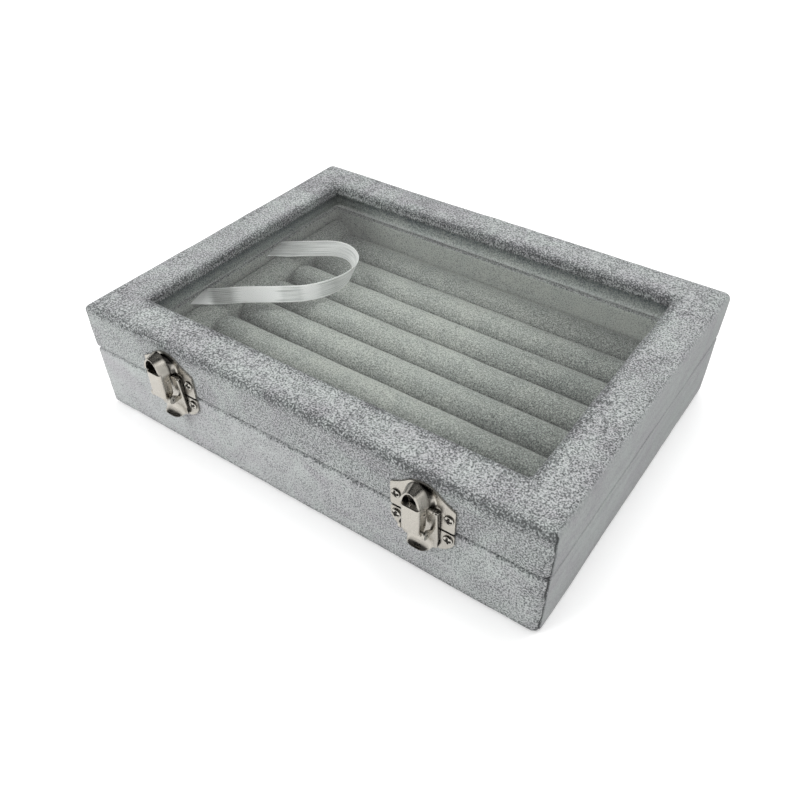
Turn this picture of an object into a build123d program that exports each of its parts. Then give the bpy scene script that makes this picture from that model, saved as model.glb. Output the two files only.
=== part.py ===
from build123d import *
import os
from math import cos, radians, sin, tan

# Ring display box, in millimetres. X runs left to right, Y front to back and Z up.
# The origin is the centre of the underside. The front, with the latches, faces -Y.

# The case
case_width = 200.0
case_depth = 150.0
base_height = 28.8  # underside to the top of the base rim
lid_height = 19.3  # lid rim to the top of the lid
seam_gap = 0.4  # the pile keeps the two rims this far apart
corner_radius = 3.0  # upright corners, over the velvet
bottom_round = 1.8
rim_round = 1.5
top_round = 2.4

# Sheet materials
velvet = 0.7
wall_board = 5.6
floor_board = 3.0
frame_board = 2.6
bottom_sheet_thickness = 0.6
bottom_sheet_inset = 3.0
hem_width = 12.0

# Window
frame_width = 17.5  # outer face of the lid to the edge of the window
window_corner = 1.5
window_round = 1.6
flap_width = 8.0  # velvet turned under the frame, beyond the window edge
glass_thickness = 2.0
glass_overlap = 7.5
bead_width = 5.0
bead_height = 3.4
bead_chamfer = 1.2

# Ring insert
card_thickness = 1.2
card_gap = 0.3
roll_count = 8
roll_gap = 0.3
roll_height = 15.0
roll_bulge = 5.3  # rise of the round crown over its two long edges
bolster_width = 9.7
bolster_wall_height = 17.2  # where the bolster meets the wall, above the card
bolster_roll_height = 12.8  # where the bolster meets the roll ends, above the card
bolster_bulge = 1.5

# Ribbon stay: centre line seen from above, from the base rim to the lid rim
ribbon_width = 7.0
ribbon_thickness = 0.5
ribbon_rise = 1.2  # top edge above the base rim
ribbon_gap = 0.3
ribbon_turns = [(-83, 33), (-66.5, 43), (-50.5, 36), (-46, 19.5), (-53.5, 4.5), (-67, -5), (-80.5, -13)]
ribbon_base_end = 21.5
ribbon_lid_end = -22.5
fillet_share = 0.45

# Screws
screw_radius = 0.9
screw_length = 5.5
screw_head_radius = 1.8
screw_head_height = 0.9
screw_head_round = 0.45
recess_length = 2.1
recess_width = 0.5
recess_depth = 0.5
screw_hole_gap = 0.1

# Latches. Heights count from the seam, and reaches from the front face of the velvet.
latch_inset = 44.0  # side of the case to the middle of a latch
plate_thickness = 0.8
plate_width = 24.2
plate_parting = 0.5  # each plate stops this far from the seam
plate_corner = 0.7
strike_top = 16.3
strike_ear = 10.3
strike_shoulder = (5.2, 14.8)
strike_flank = (8.4, 12.3)
latch_plate_ear = 4.7
latch_plate_flank = (10.0, 7.6)
latch_plate_foot = (7.0, 9.6)
plate_screw_inset = 2.2  # side of a plate to the middle of a screw
strike_screw_height = 6.1
latch_screw_height = -3.3
metal_gap = 0.3  # between parts of a latch that pass each other

lever_sheet = 0.6
lever_width = 13.8
lever_pivot_height = 8.0
lever_eye_radius = 0.9
lever_pin_radius = 0.45
running_gap = 0.05
lever_lean = 4.0  # degrees, towards the plate
lever_foot = -9.3
lever_corner = 1.2
flange_thickness = 0.6
flange_foot = -5.0  # height where the side flanges end
tongue_width = 9.2
tongue_start = -5.6
tongue_curl = 4.3
tongue_turn = 75.0
tongue_shoulder = -7.4
tongue_round = (3.4, -9.2)
tongue_tip = -10.1
cheek_thickness = 0.6
cheek_standing = 0.2  # cheeks to the face of the strike plate

loop_width = 7.6
loop_sheet = 0.6
loop_reach = 7.4  # velvet to the front of the loop
loop_pivot = (5.3, -0.2)
loop_pin_radius = 0.5
loop_eye_radius = 1.2
loop_lug_radius = 1.7
loop_lug_thickness = 0.9
loop_foot = 0.2
loop_heel = 0.9
window_sill = 11.0
hood_reach = 3.0  # velvet to the back edge of the hood
hood_foot = 9.9
hood_front = (3.8, 6.4)  # half width, and rise above the sill
hood_back = (4.7, 7.3)
dimple_radius = 0.5
dimple_place = (5.1, 7.0)

nose_root = (8.0, 6.8)  # height and radius where the nose leaves the plate
nose_tip = (11.8, 4.0)

# Hinges
hinge_inset = 40.0  # side of the case to the middle of a hinge
hinge_width = 22.0
hinge_leaf_height = 11.0
hinge_leaf = 0.8
knuckle_radius = 1.4
knuckle_gap = 0.15
hinge_pin_radius = 0.7
hinge_clearance = 0.3
hinge_screw_spacing = 13.0
hinge_screw_height = 6.5  # above or below the seam

# Levels and faces that follow from the sizes above
wall = wall_board + 2 * velvet
inner_width = case_width - 2 * wall
inner_depth = case_depth - 2 * wall
core_width = case_width - 2 * velvet
core_depth = case_depth - 2 * velvet
core_corner = corner_radius - velvet
lined_width = inner_width + 2 * velvet
lined_depth = inner_depth + 2 * velvet
floor_bottom = bottom_sheet_thickness + velvet
floor_top = floor_bottom + floor_board
card_top = floor_top + card_thickness
base_board_top = base_height - velvet
seam = base_height + seam_gap / 2
lid_bottom = base_height + seam_gap
lid_top = lid_bottom + lid_height
lid_board_bottom = lid_bottom + velvet
frame_top = lid_top - velvet
frame_bottom = frame_top - frame_board
glass_top = frame_bottom - velvet
glass_bottom = glass_top - glass_thickness
window_width = case_width - 2 * frame_width
window_depth = case_depth - 2 * frame_width
front_face = -case_depth / 2
back_face = case_depth / 2
plate_screw_x = plate_width / 2 - plate_screw_inset


def slab(width, depth, bottom, top):
    """Upright block centred on the case."""
    return Pos(0, 0, (bottom + top) / 2) * Box(width, depth, top - bottom)


def rounded_slab(width, depth, bottom, top, corner):
    """Upright block with round upright corners."""
    return extrude(Plane.XY.offset(bottom) * RectangleRounded(width, depth, corner), top - bottom)


def soft_slab(width, depth, bottom, top, corner, low_round, high_round):
    """Upright block with every outer edge round."""
    block = rounded_slab(width, depth, bottom, top, corner)
    block = fillet(block.edges().group_by(Axis.Z)[0], low_round)
    return fillet(block.edges().group_by(Axis.Z)[-1], high_round)


def round_opening(block, radius):
    """Rounds the top edge of the opening in the top face of a frame."""
    return fillet(block.faces().sort_by(Axis.Z)[-1].inner_wires()[0].edges(), radius)


def side_block(x, y, width, depth, bottom, top):
    """Upright block with its centre at x, y."""
    return Pos(x, y, 0) * slab(width, depth, bottom, top)


def four_walls(ring, width, depth):
    """Cuts a ring of wall into front, back, left and right, the ends butting on front and back."""
    block = ring.bounding_box()
    bottom, top = block.min.Z - 1, block.max.Z + 1
    reach = max(case_width, case_depth)
    front = ring & side_block(0, -depth / 2 - reach, 2 * reach, 2 * reach, bottom, top)
    back = ring & side_block(0, depth / 2 + reach, 2 * reach, 2 * reach, bottom, top)
    left = ring & side_block(-width / 2 - reach, 0, 2 * reach, depth, bottom, top)
    right = ring & side_block(width / 2 + reach, 0, 2 * reach, depth, bottom, top)
    return front, back, left, right


# Screws stand on their own axis: the head above z = 0 and the shank below.
def screw():
    head = extrude(Circle(screw_head_radius), screw_head_height)
    head = fillet(head.edges().group_by(Axis.Z)[-1], screw_head_round)
    slot = Box(recess_length, recess_width, 2 * recess_depth)
    recess = Pos(0, 0, screw_head_height) * (slot + Rot(0, 0, 90) * slot)
    return head - recess + Pos(0, 0, -screw_length) * extrude(Circle(screw_radius), screw_length)


def screw_shank(radius):
    return Pos(0, 0, -screw_length) * extrude(Circle(radius), screw_length + screw_head_height)


def on_front(x, height):
    """Place on a latch plate's face, facing the front."""
    return Pos(x, front_face - plate_thickness, seam + height) * Rot(90, 0, 0)


def on_back(x, height):
    """Place on a hinge leaf's face, facing the back."""
    return Pos(x, back_face + hinge_leaf, seam + height) * Rot(-90, 0, 0)


latch_centres = [latch_inset - case_width / 2, case_width / 2 - latch_inset]
hinge_centres = [hinge_inset - case_width / 2, case_width / 2 - hinge_inset]
sides = (-1, 1)


def latch_places(height):
    return [on_front(c + s * plate_screw_x, height) for c in latch_centres for s in sides]


def hinge_places(height):
    return [on_back(c + s * hinge_screw_spacing / 2, height) for c in hinge_centres for s in sides]


lid_front_places = latch_places(strike_screw_height)
base_front_places = latch_places(latch_screw_height)
lid_back_places = hinge_places(hinge_screw_height)
base_back_places = hinge_places(-hinge_screw_height)


def drilled(piece, places, radius):
    """The piece with a round hole for the shank of each screw."""
    for place in places:
        piece = piece - place * screw_shank(radius)
    return piece


# Base carcass and its velvet
def base_carcass():
    core = soft_slab(core_width, core_depth, floor_bottom, base_board_top, core_corner,
                     bottom_round - velvet, rim_round - velvet)
    floor = core & slab(case_width, case_depth, 0, floor_top)
    ring = core - slab(case_width, case_depth, 0, floor_top)
    ring = ring - slab(lined_width, lined_depth, 0, base_height)
    front, back, left, right = four_walls(ring, lined_width, lined_depth)
    shell = soft_slab(case_width, case_depth, bottom_sheet_thickness, base_height, corner_radius,
                      bottom_round, rim_round)
    cover = shell - core - slab(inner_width, inner_depth, floor_top, base_height)
    cover = cover - slab(case_width - 2 * hem_width, case_depth - 2 * hem_width, 0, floor_top)
    cover = drilled(cover, base_front_places + base_back_places, screw_radius)
    lining = slab(lined_width, lined_depth, floor_top, base_board_top)
    lining = lining - slab(inner_width, inner_depth, floor_top, base_board_top)
    sheet = rounded_slab(case_width - 2 * bottom_sheet_inset, case_depth - 2 * bottom_sheet_inset, 0,
                         bottom_sheet_thickness, corner_radius)
    return {
        "base_floor_board": floor,
        "base_front_board": drilled(front, base_front_places, screw_radius),
        "base_back_board": drilled(back, base_back_places, screw_radius),
        "base_left_board": left,
        "base_right_board": right,
        "base_velvet_cover": cover,
        "base_velvet_lining": lining,
        "bottom_sheet": sheet,
    }


# Lid carcass and its velvet
def lid_carcass():
    core = soft_slab(core_width, core_depth, lid_board_bottom, frame_top, core_corner,
                     rim_round - velvet, top_round - velvet)
    below_frame = slab(case_width, case_depth, lid_bottom, frame_bottom)
    frame = core - below_frame
    frame = frame - rounded_slab(window_width + 2 * velvet, window_depth + 2 * velvet, lid_bottom,
                                 lid_top, window_corner + velvet)
    frame = round_opening(frame, window_round - velvet)
    ring = (core & below_frame) - slab(lined_width, lined_depth, lid_bottom, lid_top)
    front, back, left, right = four_walls(ring, lined_width, lined_depth)
    lining = slab(lined_width, lined_depth, lid_board_bottom, frame_bottom)
    lining = lining - slab(inner_width, inner_depth, lid_board_bottom, frame_bottom)
    shell = soft_slab(case_width, case_depth, lid_bottom, lid_top, corner_radius, rim_round, top_round)
    shell = shell - rounded_slab(window_width, window_depth, lid_bottom, lid_top, window_corner)
    shell = round_opening(shell, window_round)
    flap = slab(window_width + 2 * flap_width, window_depth + 2 * flap_width, glass_top, frame_bottom)
    cover = shell - frame - ring - lining
    cover = cover - (slab(inner_width, inner_depth, lid_bottom, frame_bottom) - flap)
    cover = drilled(cover, lid_front_places + lid_back_places, screw_radius)
    return {
        "lid_top_frame": frame,
        "lid_front_board": drilled(front, lid_front_places, screw_radius),
        "lid_back_board": drilled(back, lid_back_places, screw_radius),
        "lid_left_board": left,
        "lid_right_board": right,
        "lid_velvet_cover": cover,
        "lid_velvet_lining": lining,
    }


def bead(length):
    """Velvet-wrapped batten along X, its top at z = 0 and its outer face at y = 0."""
    half = length / 2
    shape = make_face(Polyline((0, 0), (bead_width, 0), (bead_width, bead_chamfer - bead_height),
                               (bead_width - bead_chamfer, -bead_height), (0, -bead_height), (0, 0)))
    return Pos(-half, 0, 0) * extrude(Plane.YZ * shape, length)


def glazing():
    """Glass pane under the frame, and the four beads that hold it up."""
    width = window_width + 2 * glass_overlap
    depth = window_depth + 2 * glass_overlap
    along = bead(inner_width)
    between = bead(inner_depth - 2 * bead_width)
    return {
        "glass_pane": slab(width, depth, glass_bottom, glass_top),
        "glass_bead_front": Pos(0, -inner_depth / 2, glass_bottom) * along,
        "glass_bead_back": Pos(0, inner_depth / 2, glass_bottom) * Rot(0, 0, 180) * along,
        "glass_bead_left": Pos(-inner_width / 2, 0, glass_bottom) * Rot(0, 0, -90) * between,
        "glass_bead_right": Pos(inner_width / 2, 0, glass_bottom) * Rot(0, 0, 90) * between,
    }


# Ring insert. Ends are drawn in: each pair is a distance from the end and what is lost there.
drawn_in = [(0.0, 1.3), (1.2, 0.7), (3.0, 0.25), (6.0, 0.0)]


def crowned_section(width, left_height, right_height, bulge):
    """Upright section with a round top, standing on y = 0 of its plane."""
    crown = (left_height + right_height) / 2 + bulge
    sides_and_foot = Polyline((-width / 2, left_height), (-width / 2, 0), (width / 2, 0),
                              (width / 2, right_height))
    top = ThreePointArc((width / 2, right_height), (0, crown), (-width / 2, left_height))
    return make_face(sides_and_foot + top)


def soft_bar(length, across, width, left_height, right_height, bulge):
    """Padded bar along the normal of the plane across, with drawn-in ends."""
    stations = [(-length / 2 + d, loss) for d, loss in drawn_in]
    stations += [(length / 2 - d, loss) for d, loss in reversed(drawn_in)]
    sections = [
        across.offset(place) * crowned_section(width - loss / 2, left_height - loss, right_height - loss, bulge)
        for place, loss in stations
    ]
    return loft(sections, ruled=True)


def ring_rolls():
    pitch = inner_depth / roll_count
    width = pitch - roll_gap
    length = inner_width - 2 * card_gap - 2 * bolster_width - 2 * roll_gap
    across = Plane((0, 0, card_top), x_dir=(0, 1, 0), z_dir=(1, 0, 0))
    edge = roll_height - roll_bulge
    bar = soft_bar(length, across, width, edge, edge, roll_bulge)
    first = -inner_depth / 2 + pitch / 2
    return {f"ring_roll_{i + 1}": Pos(0, first + i * pitch, 0) * bar for i in range(roll_count)}


def bolsters():
    across = Plane((0, 0, card_top), x_dir=(1, 0, 0), z_dir=(0, -1, 0))
    length = inner_depth - 2 * card_gap
    centre = inner_width / 2 - card_gap - bolster_width / 2
    left = soft_bar(length, across, bolster_width, bolster_wall_height, bolster_roll_height, bolster_bulge)
    right = soft_bar(length, across, bolster_width, bolster_roll_height, bolster_wall_height, bolster_bulge)
    return {"left_bolster": Pos(-centre, 0, 0) * left, "right_bolster": Pos(centre, 0, 0) * right}


def insert_card():
    width = inner_width - 2 * card_gap
    depth = inner_depth - 2 * card_gap
    return {"insert_card": slab(width, depth, floor_top, card_top)}


def tangent_radii(points):
    """One arc for each inner point, as large as its two runs allow."""
    radii = []
    for before, here, after in zip(points, points[1:], points[2:]):
        into, out = here - before, after - here
        half_turn = radians(into.get_angle(out) / 2)
        radii.append(fillet_share * min(into.length, out.length) / tan(half_turn))
    return radii


def ribbon_stay():
    """Satin band on edge, looped inwards between its two ends at the left wall."""
    wall_x = -inner_width / 2 + ribbon_gap
    level = base_height + ribbon_rise - ribbon_width / 2
    route = [(wall_x, ribbon_base_end), *ribbon_turns, (wall_x, ribbon_lid_end)]
    points = [Vector(x, y, level) for x, y in route]
    radii = tangent_radii(points)
    print("ribbon radii", [round(r, 1) for r in radii])
    line = FilletPolyline(*points, radius=radii)
    start = Plane(origin=line @ 0, x_dir=(0, 0, 1), z_dir=line % 0)
    band = sweep(start * Rectangle(ribbon_width, ribbon_thickness), path=line)
    print("ribbon length", round(line.length, 1), "volume share",
          round(band.volume / (line.length * ribbon_width * ribbon_thickness), 4))
    return {"ribbon_stay": band}


# Latches, in a frame of their own: x across, -y outwards from the velvet, z up from the seam.
# A side plane has its first axis outwards and its second axis up.
side_plane = Plane((0, 0, 0), x_dir=(0, -1, 0), z_dir=(-1, 0, 0))
lever_pivot = (plate_thickness + metal_gap + lever_eye_radius, lever_pivot_height)
cheek_inner_x = lever_width / 2 - flange_thickness - metal_gap - cheek_thickness


def lever_face(height):
    """Reach of the lever's front face, which leans towards the plate."""
    return lever_pivot[0] + lever_eye_radius - (lever_pivot[1] - height) * tan(radians(lever_lean))


def across_latch(face, width, x=0.0):
    """Face of the side plane made solid across x, with its centre at x."""
    return Pos(x, 0, 0) * extrude(side_plane * face, width / 2, both=True)


def disc(centre, radius):
    return Pos(*centre) * Circle(radius)


def bar_shape(low_reach, high_reach, bottom, top):
    """Rectangle in the side plane."""
    return make_face(Polyline((low_reach, bottom), (high_reach, bottom), (high_reach, top),
                              (low_reach, top), (low_reach, bottom)))


def both_sides(face, thickness, inner_x):
    """Two equal upright walls, their inner faces at -inner_x and inner_x."""
    x = inner_x + thickness / 2
    return across_latch(face, thickness, -x) + across_latch(face, thickness, x)


def screw_holes(plate, height):
    for s in sides:
        hole = Pos(s * plate_screw_x, -plate_thickness, height) * Rot(90, 0, 0)
        plate = plate - hole * screw_shank(screw_radius + screw_hole_gap)
    return plate


def strike_plate():
    half = plate_width / 2
    low = plate_parting
    shoulder_x, shoulder_z = strike_shoulder
    flank_x, flank_z = strike_flank
    outline = (
        Polyline((-half, strike_ear), (-half, low), (half, low), (half, strike_ear))
        + ThreePointArc((half, strike_ear), (flank_x, flank_z), (shoulder_x, shoulder_z))
        + ThreePointArc((shoulder_x, shoulder_z), (0, strike_top), (-shoulder_x, shoulder_z))
        + ThreePointArc((-shoulder_x, shoulder_z), (-flank_x, flank_z), (-half, strike_ear))
    )
    plate = extrude(Plane.XZ * make_face(outline), plate_thickness)
    corners = plate.edges().filter_by(Axis.Y).group_by(Axis.X)
    plate = fillet(corners[0] + corners[-1], plate_corner)
    nose_reach = hood_reach - metal_gap
    root = Plane.XZ.offset(plate_thickness / 2) * disc((0, nose_root[0]), nose_root[1])
    tip = Plane.XZ.offset(nose_reach) * disc((0, nose_tip[0]), nose_tip[1])
    nose_foot = lever_pivot[1] + lever_eye_radius + metal_gap
    nose = loft([root, tip], ruled=True)
    nose = nose & across_latch(bar_shape(0, nose_reach, nose_foot, 2 * strike_top), plate_width)
    return screw_holes(plate + nose, strike_screw_height)


def latch_plate():
    half = plate_width / 2
    top = -plate_parting
    flank_x, flank_z = latch_plate_flank
    foot_x, foot_z = latch_plate_foot
    outline = (
        Polyline((-half, -latch_plate_ear), (-half, top), (half, top), (half, -latch_plate_ear))
        + ThreePointArc((half, -latch_plate_ear), (flank_x, -flank_z), (foot_x, -foot_z))
        + Line((foot_x, -foot_z), (-foot_x, -foot_z))
        + ThreePointArc((-foot_x, -foot_z), (-flank_x, -flank_z), (-half, -latch_plate_ear))
    )
    plate = extrude(Plane.XZ * make_face(outline), plate_thickness)
    corners = plate.edges().filter_by(Axis.Y).group_by(Axis.X)
    plate = fillet(corners[0] + corners[-1], plate_corner)
    standing = plate_thickness + cheek_standing
    head = lever_pivot[1]
    behind = lever_sheet + metal_gap
    arm = make_face(Polyline(
        (plate_thickness / 2, flange_foot), (lever_face(flange_foot) - behind, flange_foot),
        (lever_face(head) - behind, head), (standing, head), (standing, top),
        (plate_thickness / 2, top), (plate_thickness / 2, flange_foot)))
    arm = arm + disc(lever_pivot, lever_eye_radius - running_gap)
    arm = arm - disc(lever_pivot, lever_pin_radius)
    return screw_holes(plate + both_sides(arm, cheek_thickness, cheek_inner_x),
                       latch_screw_height)


def tongue_sector(radius):
    """Sector of a disc that opens from the start of the tongue, outwards and down."""
    centre = (lever_face(tongue_start) - lever_sheet / 2 + tongue_curl, tongue_start)
    far = 2 * tongue_curl
    turn = radians(tongue_turn)
    end = (centre[0] - far * cos(turn), centre[1] - far * sin(turn))
    wedge = make_face(Polyline(centre, (centre[0] - far, centre[1]), (centre[0] - far, centre[1] - far),
                               end, centre))
    return disc(centre, radius) & wedge


def lever_sheet_shape():
    """Leaning web with a tongue scooped out of its foot."""
    head = lever_pivot[1]
    web = make_face(Polyline(
        (lever_face(lever_foot) - lever_sheet, lever_foot), (lever_face(lever_foot), lever_foot),
        (lever_face(head), head), (lever_face(head) - lever_sheet, head),
        (lever_face(lever_foot) - lever_sheet, lever_foot)))
    web = across_latch(web, lever_width)
    low = web.edges().group_by(Axis.Z)[0].filter_by(Axis.X, reverse=True)
    web = fillet(low, lever_corner)
    curl = tongue_sector(tongue_curl + lever_sheet / 2) - tongue_sector(tongue_curl - lever_sheet / 2)
    wide = tongue_width / 2
    round_x, round_z = tongue_round
    outline = make_face(
        Polyline((-wide, tongue_shoulder), (-wide, head), (wide, head), (wide, tongue_shoulder))
        + ThreePointArc((wide, tongue_shoulder), (round_x, round_z), (0, tongue_tip))
        + ThreePointArc((0, tongue_tip), (-round_x, round_z), (-wide, tongue_shoulder))
    )
    return web + (across_latch(curl, tongue_width) & extrude(Plane.XZ * outline, 4 * tongue_curl))


def latch_lever():
    half = lever_width / 2
    flange_back = plate_thickness + metal_gap
    head = lever_pivot[1]
    flange = make_face(Polyline(
        (flange_back, flange_foot), (lever_face(flange_foot), flange_foot), (lever_face(head), head),
        (flange_back, head), (flange_back, flange_foot)))
    flange = flange + disc(lever_pivot, lever_eye_radius)
    lever = lever_sheet_shape() + both_sides(flange, flange_thickness, half - flange_thickness)
    lever = lever + across_latch(disc(lever_pivot, lever_eye_radius), 2 * (cheek_inner_x - metal_gap))
    notch_width = cheek_thickness + 2 * metal_gap
    notch = disc(lever_pivot, lever_eye_radius + metal_gap)
    lever = lever - both_sides(notch, notch_width, cheek_inner_x - metal_gap)
    lever = lever - across_latch(disc(lever_pivot, lever_pin_radius + running_gap), lever_width + 1)
    pivot_reach, pivot_height = loop_pivot
    lug = disc(loop_pivot, loop_lug_radius)
    lug = lug + bar_shape(lever_face(pivot_height) - lever_sheet / 2, pivot_reach,
                          pivot_height - loop_lug_radius, pivot_height + loop_lug_radius)
    lever = lever + both_sides(lug, loop_lug_thickness, loop_width / 2 + metal_gap)
    return lever - across_latch(disc(loop_pivot, loop_pin_radius), lever_width)


def lever_pin():
    return across_latch(disc(lever_pivot, lever_pin_radius), lever_width)


def loop_pin():
    return across_latch(disc(loop_pivot, loop_pin_radius), loop_width + 2 * (metal_gap + loop_lug_thickness))


def arch(size, reach, inside=0.0):
    """Half-oval doorway shape, upright, at the given reach from the velvet."""
    half_width, rise = size[0] - inside, size[1] - inside
    oval = EllipticalCenterArc((0, window_sill), half_width, rise, start_angle=0, arc_size=180)
    legs = Polyline((-half_width, window_sill), (-half_width, hood_foot), (half_width, hood_foot),
                    (half_width, window_sill))
    return Plane.XZ.offset(reach) * make_face(oval + legs)


def latch_loop():
    inner = loop_width / 2 - loop_sheet
    rear = lever_pivot[0] + lever_eye_radius + metal_gap
    hood = loft([arch(hood_back, hood_reach), arch(hood_front, loop_reach)], ruled=True)
    hood = hood - loft([arch(hood_back, hood_reach, loop_sheet), arch(hood_front, loop_reach, loop_sheet)],
                       ruled=True)
    front = across_latch(bar_shape(loop_reach - loop_sheet, loop_reach, loop_foot, window_sill), loop_width)
    reach, height = loop_pivot
    wall = make_face(Polyline((loop_reach, loop_foot), (loop_reach, window_sill), (rear, window_sill),
                              (rear, loop_heel), (reach, height), (loop_reach, loop_foot)))
    wall = wall + disc(loop_pivot, loop_eye_radius)
    wall = wall - disc(loop_pivot, loop_pin_radius + running_gap) - disc(dimple_place, dimple_radius)
    return front + hood + both_sides(wall, loop_sheet, inner)


def latches():
    """Both latches, moved from their own frame to the front of the case."""
    shapes = {
        "strike_plate": strike_plate(),
        "latch_plate": latch_plate(),
        "latch_lever": latch_lever(),
        "lever_pin": lever_pin(),
        "latch_loop": latch_loop(),
        "loop_pin": loop_pin(),
    }
    pieces = {}
    for side, x in zip(("left", "right"), latch_centres):
        for name, shape in shapes.items():
            pieces[f"{name}_{side}"] = Pos(x, front_face, seam) * shape
    return pieces


# Butt hinges on the back. The pin's axis stands just clear of the velvet, at the seam.
knuckle_axis_y = back_face + hinge_clearance + knuckle_radius


def hinge():
    third = hinge_width / 3
    outer_x = third

    def rod(radius, width, x=0.0):
        return Pos(x, knuckle_axis_y, seam) * Rot(0, 90, 0) * Cylinder(radius, width)

    def leaf(low, high):
        middle = (low + high) / 2
        return Pos(0, back_face + hinge_leaf / 2, seam + middle) * Box(hinge_width, hinge_leaf, high - low)

    knuckle = third - knuckle_gap
    edge = seam_gap / 2 + hinge_clearance / 2
    sweep_radius = knuckle_radius + hinge_clearance / 2
    outer = rod(knuckle_radius, knuckle, -outer_x) + rod(knuckle_radius, knuckle, outer_x)
    outer_room = rod(sweep_radius, third + knuckle_gap, -outer_x) + rod(sweep_radius, third + knuckle_gap, outer_x)
    inner_room = rod(sweep_radius, third + knuckle_gap)
    base_leaf = leaf(-hinge_leaf_height, -edge) - inner_room + outer
    lid_leaf = leaf(edge, hinge_leaf_height) - outer_room + rod(knuckle_radius, knuckle)
    base_leaf = base_leaf - rod(hinge_pin_radius, hinge_width + 1)
    lid_leaf = lid_leaf - rod(hinge_pin_radius + running_gap, hinge_width + 1)
    return {"hinge_base_leaf": base_leaf, "hinge_lid_leaf": lid_leaf, "hinge_pin": rod(hinge_pin_radius, hinge_width)}


def hinges():
    places = {"hinge_base_leaf": base_back_places, "hinge_lid_leaf": lid_back_places, "hinge_pin": []}
    pieces = {}
    for side, x in zip(("left", "right"), hinge_centres):
        for name, shape in hinge().items():
            pieces[f"{name}_{side}"] = drilled(Pos(x, 0, 0) * shape, places[name], screw_radius + screw_hole_gap)
    return pieces


def screws():
    groups = {
        "latch_screws_lid": lid_front_places,
        "latch_screws_base": base_front_places,
        "hinge_screws_lid": lid_back_places,
        "hinge_screws_base": base_back_places,
    }
    one = screw()
    return {name: Compound(children=[place * one for place in places]) for name, places in groups.items()}


pieces = {
    **base_carcass(),
    **lid_carcass(),
    **glazing(),
    **insert_card(),
    **ring_rolls(),
    **bolsters(),
    **ribbon_stay(),
    **latches(),
    **hinges(),
    **screws(),
}

os.makedirs("parts", exist_ok=True)
for name, piece in pieces.items():
    export_step(piece, f"parts/{name}.step")
print(len(pieces), "pieces; pin axes: hinge", round(knuckle_axis_y, 3), round(seam, 3),
      "lever", [round(v, 3) for v in lever_pivot], "loop", loop_pivot)
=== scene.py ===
import bmesh
import bpy
import numpy as np
from math import radians
from mathutils import Matrix


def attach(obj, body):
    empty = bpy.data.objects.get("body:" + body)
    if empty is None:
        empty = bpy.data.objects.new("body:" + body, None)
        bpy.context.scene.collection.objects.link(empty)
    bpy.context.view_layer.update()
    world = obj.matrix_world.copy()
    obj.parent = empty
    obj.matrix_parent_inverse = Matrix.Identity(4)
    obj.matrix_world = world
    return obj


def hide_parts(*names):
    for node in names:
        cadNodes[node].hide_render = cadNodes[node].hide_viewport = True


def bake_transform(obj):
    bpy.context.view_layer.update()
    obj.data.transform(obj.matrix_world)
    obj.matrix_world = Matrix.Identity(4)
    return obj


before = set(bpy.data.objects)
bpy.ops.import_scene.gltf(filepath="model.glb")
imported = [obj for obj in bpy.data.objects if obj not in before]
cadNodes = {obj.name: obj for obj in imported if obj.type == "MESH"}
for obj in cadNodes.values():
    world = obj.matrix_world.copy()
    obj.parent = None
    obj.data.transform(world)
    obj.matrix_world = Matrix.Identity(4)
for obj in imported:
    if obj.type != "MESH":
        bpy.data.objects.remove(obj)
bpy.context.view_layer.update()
mm = 0.001
print("frame loaded:", len(cadNodes), "nodes")


def addObject(name, data):
    added = bpy.data.objects.new(name, data)
    bpy.context.scene.collection.objects.link(added)
    return added


# Camera, at the place and angle that the corners of the case and of the window give
camera = {
    "lens": 34.95,
    "sensor": 36.0,
    "place": (0.14318, -0.20921, 0.2155),
    "right": (0.82245, 0.56883, 0.00329),
    "up": (-0.39931, 0.5732, 0.71554),
    "back": (0.40514, -0.58981, 0.69856),
    "shift": (-0.0131, 0.0609),
}
cameraData = bpy.data.cameras.new("camera")
cameraData.lens = camera["lens"]
cameraData.sensor_width = camera["sensor"]
cameraData.shift_x, cameraData.shift_y = camera["shift"]
cameraData.clip_start = 0.01
cameraObject = addObject("camera", cameraData)
turned = Matrix((camera["right"], camera["up"], camera["back"])).transposed()
cameraObject.matrix_world = Matrix.Translation(camera["place"]) @ turned.to_4x4()
bpy.context.scene.camera = cameraObject


# A grid of points, rows x columns x 3, joined by quads. A closed direction wraps round. Separate grids of
# one size come stacked, pieces x rows x columns x 3.
def gridMesh(name, points, closedRows=False, closedColumns=False):
    rows, columns = points.shape[-3:-1]
    count = points.size // 3
    i = np.arange(rows if closedRows else rows - 1)[:, None]
    j = np.arange(columns if closedColumns else columns - 1)[None, :]
    below, beside = (i + 1) % rows, (j + 1) % columns
    corners = [i * columns + j, i * columns + beside, below * columns + beside, below * columns + j]
    quads = np.stack(np.broadcast_arrays(*corners), -1).reshape(-1, 4)
    faces = (quads + np.arange(0, count, rows * columns)[:, None, None]).reshape(-1, 4)
    mesh = bpy.data.meshes.new(name)
    mesh.vertices.add(count)
    mesh.vertices.foreach_set("co", points.astype(np.float32).ravel())
    mesh.loops.add(faces.size)
    mesh.loops.foreach_set("vertex_index", faces.ravel().astype(np.int32))
    mesh.polygons.add(len(faces))
    mesh.polygons.foreach_set("loop_start", np.arange(0, faces.size, 4, dtype=np.int32))
    mesh.update(calc_edges=True)
    return mesh


# A value for each point of a grid, for its material to read.
def addValues(mesh, name, values):
    attribute = mesh.attributes.new(name, "FLOAT", "POINT")
    attribute.data.foreach_set("value", values.astype(np.float32).ravel())


# Puts a mesh on its body as a smooth piece. A piece that only adds to another replaces no node.
def addSmooth(name, mesh, body, material, replaced):
    mesh.polygons.foreach_set("use_smooth", np.ones(len(mesh.polygons), bool))
    mesh.materials.append(material)
    piece = addObject(name, mesh)
    if body:
        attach(piece, body)
    if replaced:
        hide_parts(*replaced)
    return piece


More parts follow.
